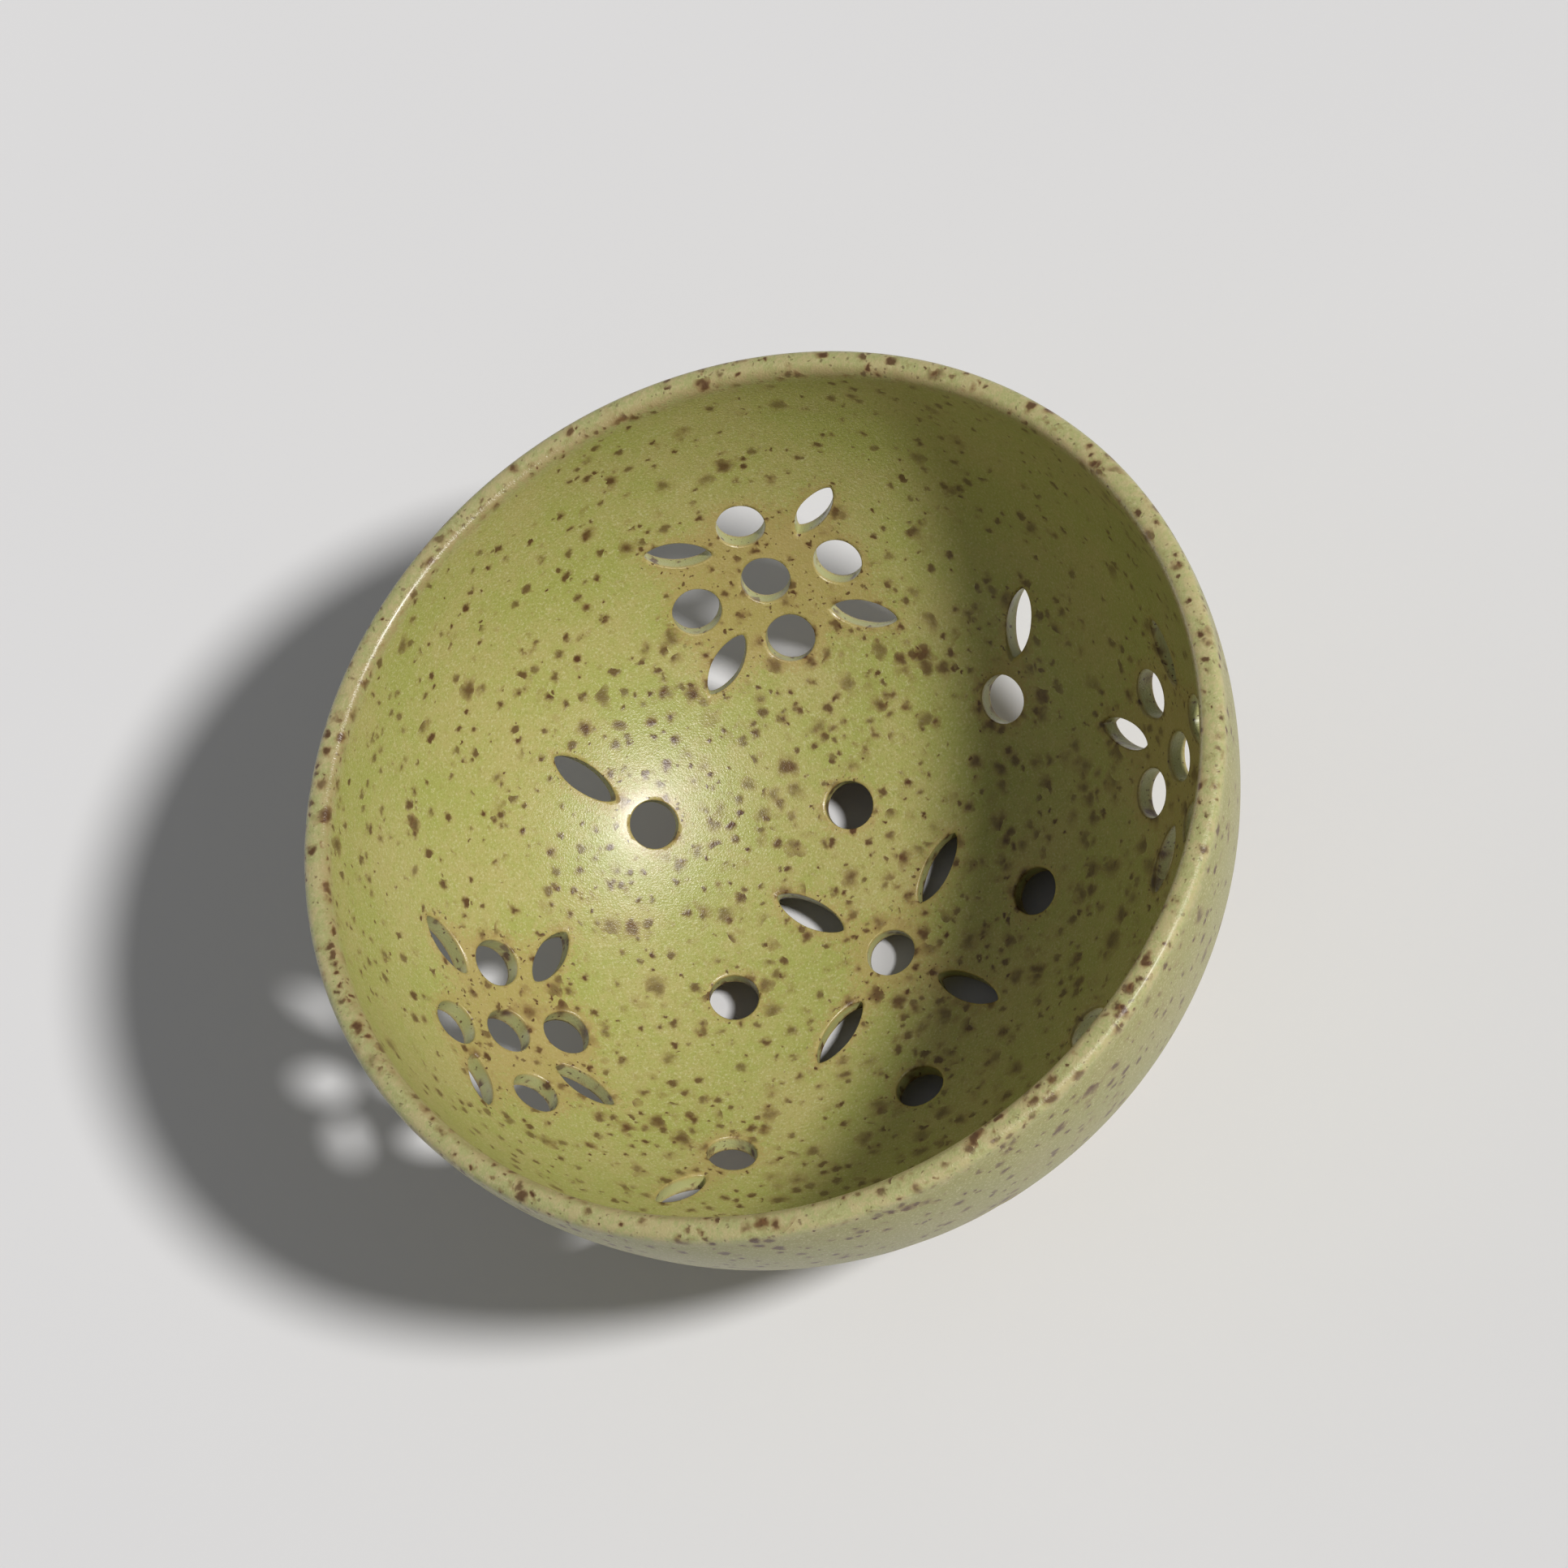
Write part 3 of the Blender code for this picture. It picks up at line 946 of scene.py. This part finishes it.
def glazeLip(paint, mark, cloud, body):
    # the lip is broken tan and green, with pale grain that is partly painted glints, browner along its
    # inner edge
    look, span, ruffle, share = glazeLooks, glazeRanges, glazeRuffles, glazeShares
    grain, patch = cloud["grain"], cloud["patch"]
    crest = paint.ease(mark["lip"].ruffled(ruffle["crest"], cloud["fine"]), *span["crest"])
    tan = paint.ease(patch.ruffled(ruffle["lipTan"], grain), *span["lipTan"])
    lipBody = paint.colour(tan, look["lipGreen"], look["lipTan"])
    # pale grain on the lip, partly painted glints
    grainGlint = paint.ease(grain, *span["lipGrainGlint"]) * share["lipGrainGlint"]
    lipBody = paint.colour(grainGlint, lipBody, look["grainGlint"])
    body = paint.colour(crest * share["crest"], body, lipBody)
    worn = mark["lip"].ruffled(ruffle["worn"], grain).ruffled(ruffle["worn"], patch)
    worn = paint.ease(worn, *span["worn"]) * paint.ease(mark["across"], *span["inward"])
    body = paint.colour(worn * share["worn"], body, look["lipBrown"])
    scorched = paint.ease(patch.ruffled(ruffle["scorched"], grain), *span["scorched"]) * crest
    return paint.colour(scorched * share["scorched"], body, look["lipBrown"]), crest


def ironSpecks(paint, mark, cloud, body):
    # crisp specks everywhere, soft blotches mostly on the floor, small ones by the holes, more on the lip
    span, share, sizes, s = glazeRanges, glazeShares, speckSizes, speckLooks
    bent = paint.strayed(*s["bend"])
    wide = paint.strayed(*s["wideBend"])
    denser = paint.ease(cloud["crowd"], *span["denser"])
    floorward = paint.ease(mark["climb"], *span["floorward"])
    rimward = paint.ease(mark["lip"], *span["rimward"])
    byHole = paint.ease(mark["holeField"] + s["smallByEdge"] * mark["holeEdge"], *span["byHole"])
    crispShare = cloud["crowd"].ruffled(glazeRuffles["crisp"], cloud["broad"])
    crispShare = paint.ease(crispShare, *span["crispShare"]) + s["crispOnFloor"] * floorward
    blotchShare = s["blotchLeast"] + (1 - s["blotchLeast"]) * denser
    blotchShare = blotchShare * (s["blotchOnWall"] + s["blotchOnFloor"] * floorward)
    crisp, crispFringe = paint.spots(*sizes["crisp"], crispShare, bent)
    blotch, blotchFringe = paint.spots(*sizes["blotch"], blotchShare, wide)
    small = paint.spots(*sizes["small"], s["small"], bent)[0] * (byHole + s["smallByRim"] * rimward)
    onLip, onLipFringe = paint.spots(*sizes["onLip"], s["onLip"], wide)
    layers = (
        (blotchFringe * share["blotchFringe"], "fringe"),
        (blotch * share["blotch"], "speck"),
        (crispFringe * share["crispFringe"], "fringe"),
        (crisp, "speck"),
        (small, "speck"),
        (onLipFringe * rimward * share["onLipFringe"], "fringe"),
        (onLip * rimward * share["onLip"], "speck"),
    )
    for cover, name in layers:
        body = paint.colour(cover, body, glazeLooks[name])
    return body, crisp, small


def oliveGlaze():
    f = glazeFinish
    paint = Paint("olive_glaze", IOR=f["ior"], Coat_Roughness=f["coatRoughness"])
    markNames = ("holeEdge", "holeField", "holeWall", "lip", "across", "outside", "climb")
    mark = {name: paint.mark(name) for name in markNames}
    cloud = {name: paint.noise(*sizes) for name, sizes in glazeClouds.items()}
    body, thin = glazeBody(paint, mark, cloud)
    body, crest = glazeLip(paint, mark, cloud, body)
    body, crisp, small = ironSpecks(paint, mark, cloud, body)
    paint.feed("Base Color", body)
    roughness = f["roughness"] + f["silkRoughness"] * cloud["silk"] + f["thinRoughness"] * thin
    paint.feed("Roughness", roughness + f["outsideRoughness"] * mark["outside"])
    paint.feed("Coat Weight", f["coat"] - f["coatLostOutside"] * mark["outside"])
    height = f["peelRelief"] * cloud["peel"] + f["silkRelief"] * cloud["silk"]
    height = height - f["crispPit"] * crisp - f["smallPit"] * small
    paint.bump(f["bump"], f["bumpDepth"], height + f["lipRelief"] * crest * cloud["patch"])
    return paint.material


# The bare clay of the foot
clayLooks = {
    "warm": (0.420, 0.305, 0.190),
    "pale": (0.500, 0.390, 0.265),
    "grog": (0.150, 0.080, 0.045),
    "ior": 1.45,
    "broadCloud": (60.0, 4.0, 0.60),
    "fineCloud": (1500.0, 3.0, 0.65),
    "ruffle": 0.5,
    "paleRange": (0.35, 0.70),
    "grogSizes": (0.0017, 0.00042, 0.00012, 0.5),
    "grogShare": 0.5,
    "grogBend": (0.0008, 1200.0),
    "grogCover": 0.8,
    "grogHeight": 0.6,
    "roughness": 0.82,
    "fineRoughness": 0.15,
    "bump": 0.5,
    "bumpDepth": 0.0003,
}


def bareClay():
    c = clayLooks
    paint = Paint("bare_clay", IOR=c["ior"])
    fine = paint.noise(*c["fineCloud"])
    pale = paint.ease(paint.noise(*c["broadCloud"]).ruffled(c["ruffle"], fine), *c["paleRange"])
    body = paint.colour(pale, c["warm"], c["pale"])
    grog = paint.spots(*c["grogSizes"], c["grogShare"], paint.strayed(*c["grogBend"]))[0]
    paint.feed("Base Color", paint.colour(grog * c["grogCover"], body, c["grog"]))
    paint.feed("Roughness", c["roughness"] + c["fineRoughness"] * fine)
    paint.bump(c["bump"], c["bumpDepth"], fine + c["grogHeight"] * grog)
    return paint.material


# The camera, by its pose about the middle of the mouth
viewSizes = {
    "imagePixels": 1932,
    "focalPixels": 9352.3,
    "sensorWidth": 36.0,
    "tilt": math.radians(30.461),  # between the bowl's axis and the line of sight
    "azimuth": math.radians(291.621),
    "roll": math.radians(321.426),
    "distance": 1.17071,
    "aside": 0.003997,
    "above": 0.000616,
    "clipStart": 0.05,
    "clipEnd": 20.0,
}


def addCamera():
    v = viewSizes
    sight = Vector((
        math.sin(v["tilt"]) * math.cos(v["azimuth"]),
        math.sin(v["tilt"]) * math.sin(v["azimuth"]),
        math.cos(v["tilt"]),
    ))
    level = Vector((0.0, 0.0, 1.0)).cross(sight).normalized()
    upright = sight.cross(level)
    right = math.cos(v["roll"]) * level + math.sin(v["roll"]) * upright
    up = math.cos(v["roll"]) * upright - math.sin(v["roll"]) * level
    data = bpy.data.cameras.new("camera")
    data.sensor_width = v["sensorWidth"]
    data.lens = v["sensorWidth"] * v["focalPixels"] / v["imagePixels"]
    data.clip_start = v["clipStart"]
    data.clip_end = v["clipEnd"]
    camera = bpy.data.objects.new("camera", data)
    bpy.context.scene.collection.objects.link(camera)
    place = Vector((0.0, 0.0, lipHeight)) + sight * v["distance"] + right * v["aside"] + up * v["above"]
    camera.matrix_world = Matrix.Translation(place) @ Matrix((right, up, sight)).transposed().to_4x4()
    bpy.context.scene.camera = camera


# Studio light: a soft sun, a broad fill from the other side and a dim even sky
lightLooks = {
    "keyFrom": (0.606, -0.338, 0.720),
    "keyDistance": 2.0,
    "keySpread": math.radians(7.0),
    "keyStrength": 3.25,
    "keyColour": (1.0, 0.985, 0.965),
    "fillFrom": (-0.80, 0.50, 0.16),
    "fillDistance": 2.2,
    "fillSize": 1.6,
    "fillPower": 6.5,
    "sky": (0.96, 0.97, 0.99),
    "skyStrength": 0.16,
}


def addLamp(name, kind, towards, distance):
    data = bpy.data.lights.new(name, kind)
    lamp = bpy.data.objects.new(name, data)
    bpy.context.scene.collection.objects.link(lamp)
    towards = Vector(towards).normalized()
    lamp.location = towards * distance + Vector((0.0, 0.0, lipHeight / 2))
    lamp.rotation_euler = towards.to_track_quat("Z", "Y").to_euler()
    return data


def addLight():
    k = lightLooks
    key = addLamp("key", "SUN", k["keyFrom"], k["keyDistance"])
    key.angle = k["keySpread"]
    key.energy = k["keyStrength"]
    key.color = k["keyColour"]
    fill = addLamp("fill", "AREA", k["fillFrom"], k["fillDistance"])
    fill.shape = "DISK"
    fill.size = k["fillSize"]
    fill.energy = k["fillPower"]
    world = bpy.data.worlds.new("studio")
    world.use_nodes = True
    backdrop = world.node_tree.nodes["Background"]
    backdrop.inputs["Color"].default_value = (*k["sky"], 1.0)
    backdrop.inputs["Strength"].default_value = k["skyStrength"]
    bpy.context.scene.world = world


# The floor: plain pale paper
floorLooks = {
    "pale": (0.78, 0.78, 0.79),
    "shade": 0.96,  # the paper's darker patches, as a share of the pale
    "cloud": (9.0, 3.0, 0.5),
    "reach": 3.0,
}


def addFloor():
    reach, pale = floorLooks["reach"], floorLooks["pale"]
    corners = [(-reach, -reach, 0.0), (reach, -reach, 0.0), (reach, reach, 0.0), (-reach, reach, 0.0)]
    floor = meshObject("floor", corners, [[0, 1, 2, 3]])
    paint = Paint("floor_paper", Roughness=1.0, Specular_IOR_Level=0.0)
    shade = tuple(floorLooks["shade"] * channel for channel in pale)
    paint.feed("Base Color", paint.colour(paint.noise(*floorLooks["cloud"]), shade, pale))
    floor.data.materials.append(paint.material)


addCamera()
addLight()
addFloor()
print("camera, floor and light set")

bowl = piercedBowl(oliveGlaze())
markSurface(bowl)
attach(bowl, "root")
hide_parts("pierced_bowl")

foot = footRing(bareClay())
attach(foot, "root")
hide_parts("foot_ring")

bpy.context.scene.view_settings.view_transform = "Standard"

print("pieces placed")
